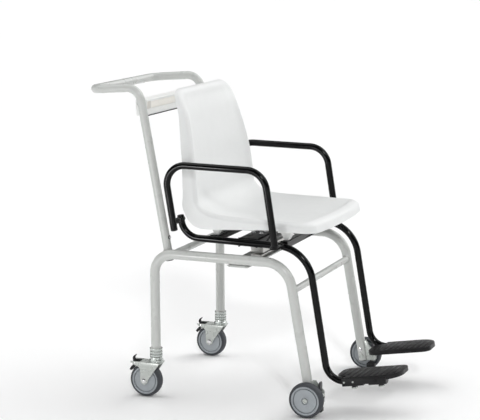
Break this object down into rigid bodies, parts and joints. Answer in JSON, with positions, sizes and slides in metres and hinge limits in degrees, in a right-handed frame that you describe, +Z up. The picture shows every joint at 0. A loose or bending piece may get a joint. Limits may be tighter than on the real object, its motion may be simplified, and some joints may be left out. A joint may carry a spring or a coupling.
{
  "type": "chair scale",
  "caption": "Digital chair scale: wheeled tube frame with push handle, weighing seat shell, lift-up armrests, folding footplates, braked castors and a read-out between the handle posts.",
  "frame": {"origin": "centre of the bounding box in plan, at floor level under the wheels", "axes": "+Z up, the chair faces -Y, +X is the sitter's left"},
  "size_m": [0.568, 0.9474, 0.91],
  "materials": {
    "frame_paint": "smooth gloss paint, light warm grey",
    "black_paint": "gloss black paint",
    "shell_plastic": "white moulded plastic, soft sheen",
    "plate_plastic": "charcoal moulded plastic, matt",
    "housing_plastic": "off-white moulded plastic",
    "tyre_rubber": "dark grey solid rubber",
    "hub_plastic": "blue-grey moulded plastic",
    "zinc_steel": "bright zinc plating",
    "cell_aluminium": "machined aluminium",
    "brake_plastic": "black moulded plastic",
    "lcd_glass": "clear window over a grey-green liquid crystal display",
    "button_plastic": "blue-grey rubbery key",
    "board_green": "green circuit board lacquer",
    "battery_wrap": "dark blue heat-shrink wrap"
  },
  "bodies": {
    "frame": {"armrest_pivot_left": "black_paint", "armrest_pivot_right": "black_paint", "armrest_stop_left": "black_paint", "armrest_stop_right": "black_paint", "base_channel": "frame_paint", "battery_pack": "battery_wrap", "brake_bracket_left": "zinc_steel", "brake_bracket_right": "zinc_steel", "caster_socket_left": "zinc_steel", "caster_socket_right": "zinc_steel", "cell_foot_plate": "cell_aluminium", "cell_head_plate": "cell_aluminium", "display_back_cover": "housing_plastic", "display_board": "board_green", "display_housing": "housing_plastic", "front_axle_left": "zinc_steel", "front_axle_right": "zinc_steel", "front_cross_bar": "frame_paint", "front_cross_member": "black_paint", "front_seat_bracket": "housing_plastic", "lcd_window": "lcd_glass", "load_cell": "cell_aluminium", "push_handle": "frame_paint", "rear_cross_member": "black_paint", "rear_cross_tube": "frame_paint", "rear_seat_bracket": "housing_plastic", "seat_rail_left": "black_paint", "seat_rail_right": "black_paint", "seat_shell": "shell_plastic", "side_frame_left": "frame_paint", "side_frame_right": "frame_paint", "top_channel": "black_paint"},
    "caster_left": {"caster_fork_left": "zinc_steel", "rear_axle_left": "zinc_steel"},
    "rear_wheel_left": {"rear_tyre_left": "tyre_rubber", "rear_hub_left": "hub_plastic"},
    "front_wheel_left": {"front_tyre_left": "tyre_rubber", "front_hub_left": "hub_plastic"},
    "rear_brake_left": {"rear_brake_left": "brake_plastic"},
    "front_brake_left": {"front_brake_left": "brake_plastic"},
    "armrest_left": {"armrest_left": "black_paint", "armrest_cap_left": "brake_plastic"},
    "footplate_left": {"footplate_left": "plate_plastic"},
    "caster_right": {"caster_fork_right": "zinc_steel", "rear_axle_right": "zinc_steel"},
    "rear_wheel_right": {"rear_tyre_right": "tyre_rubber", "rear_hub_right": "hub_plastic"},
    "front_wheel_right": {"front_tyre_right": "tyre_rubber", "front_hub_right": "hub_plastic"},
    "rear_brake_right": {"rear_brake_right": "brake_plastic"},
    "front_brake_right": {"front_brake_right": "brake_plastic"},
    "armrest_right": {"armrest_right": "black_paint", "armrest_cap_right": "brake_plastic"},
    "footplate_right": {"footplate_right": "plate_plastic"},
    "power_button": {"power_button": "button_plastic"},
    "hold_button": {"hold_button": "button_plastic"},
    "tare_button": {"tare_button": "button_plastic"},
    "battery_cover": {"battery_cover": "housing_plastic"}
  },
  "joints": [
    {"name": "caster_swivel_right", "type": "hinge", "parent": "frame", "child": "caster_right", "pos_m": [-0.239, 0.2509, 0.11], "axis": [0, 0, 1], "continuous": true},
    {"name": "rear_wheel_spin_right", "type": "hinge", "parent": "caster_right", "child": "rear_wheel_right", "pos_m": [-0.239, 0.2824, 0.049], "axis": [1, 0, 0], "continuous": true},
    {"name": "rear_brake_press_right", "type": "hinge", "parent": "caster_right", "child": "rear_brake_right", "pos_m": [-0.239, 0.3109, 0.1], "axis": [-1, 0, 0], "range_deg": [0, 4.4]},
    {"name": "front_wheel_spin_right", "type": "hinge", "parent": "frame", "child": "front_wheel_right", "pos_m": [-0.269, -0.2247, 0.05], "axis": [1, 0, 0], "continuous": true},
    {"name": "front_brake_press_right", "type": "hinge", "parent": "frame", "child": "front_brake_right", "pos_m": [-0.239, -0.2521, 0.054], "axis": [0, -1, 0], "range_deg": [0, 3.4]},
    {"name": "armrest_lift_right", "type": "hinge", "parent": "frame", "child": "armrest_right", "pos_m": [-0.2584, 0.1829, 0.525], "axis": [-1, 0, 0], "range_deg": [0, 100]},
    {"name": "footplate_fold_right", "type": "hinge", "parent": "frame", "child": "footplate_right", "pos_m": [-0.202, -0.2658, 0.0878], "axis": [0, -0.9863, 0.1647], "range_deg": [0, 90]},
    {"name": "caster_swivel_left", "type": "hinge", "parent": "frame", "child": "caster_left", "pos_m": [0.239, 0.2509, 0.11], "axis": [0, 0, 1], "continuous": true},
    {"name": "rear_wheel_spin_left", "type": "hinge", "parent": "caster_left", "child": "rear_wheel_left", "pos_m": [0.239, 0.2824, 0.049], "axis": [1, 0, 0], "continuous": true},
    {"name": "rear_brake_press_left", "type": "hinge", "parent": "caster_left", "child": "rear_brake_left", "pos_m": [0.239, 0.3109, 0.1], "axis": [-1, 0, 0], "range_deg": [0, 4.4]},
    {"name": "front_wheel_spin_left", "type": "hinge", "parent": "frame", "child": "front_wheel_left", "pos_m": [0.269, -0.2247, 0.05], "axis": [1, 0, 0], "continuous": true},
    {"name": "front_brake_press_left", "type": "hinge", "parent": "frame", "child": "front_brake_left", "pos_m": [0.239, -0.2521, 0.054], "axis": [0, 1, 0], "range_deg": [0, 3.4]},
    {"name": "armrest_lift_left", "type": "hinge", "parent": "frame", "child": "armrest_left", "pos_m": [0.2584, 0.1829, 0.525], "axis": [-1, 0, 0], "range_deg": [0, 100]},
    {"name": "footplate_fold_left", "type": "hinge", "parent": "frame", "child": "footplate_left", "pos_m": [0.202, -0.2658, 0.0878], "axis": [0, 0.9863, -0.1647], "range_deg": [0, 90]},
    {"name": "power_button_push", "type": "slide", "parent": "frame", "child": "power_button", "axis": [0, -1, 0], "range_m": [0, 0.0012], "stiffness_N_per_m": 300, "springref_m": -0.001},
    {"name": "hold_button_push", "type": "slide", "parent": "frame", "child": "hold_button", "axis": [0, -1, 0], "range_m": [0, 0.0012], "stiffness_N_per_m": 300, "springref_m": -0.001},
    {"name": "tare_button_push", "type": "slide", "parent": "frame", "child": "tare_button", "axis": [0, -1, 0], "range_m": [0, 0.0012], "stiffness_N_per_m": 300, "springref_m": -0.001},
    {"name": "battery_cover_open", "type": "hinge", "parent": "frame", "child": "battery_cover", "pos_m": [-0.137, 0.3211, 0.8538], "axis": [1, 0, 0], "range_deg": [0, 85]}
  ]
}
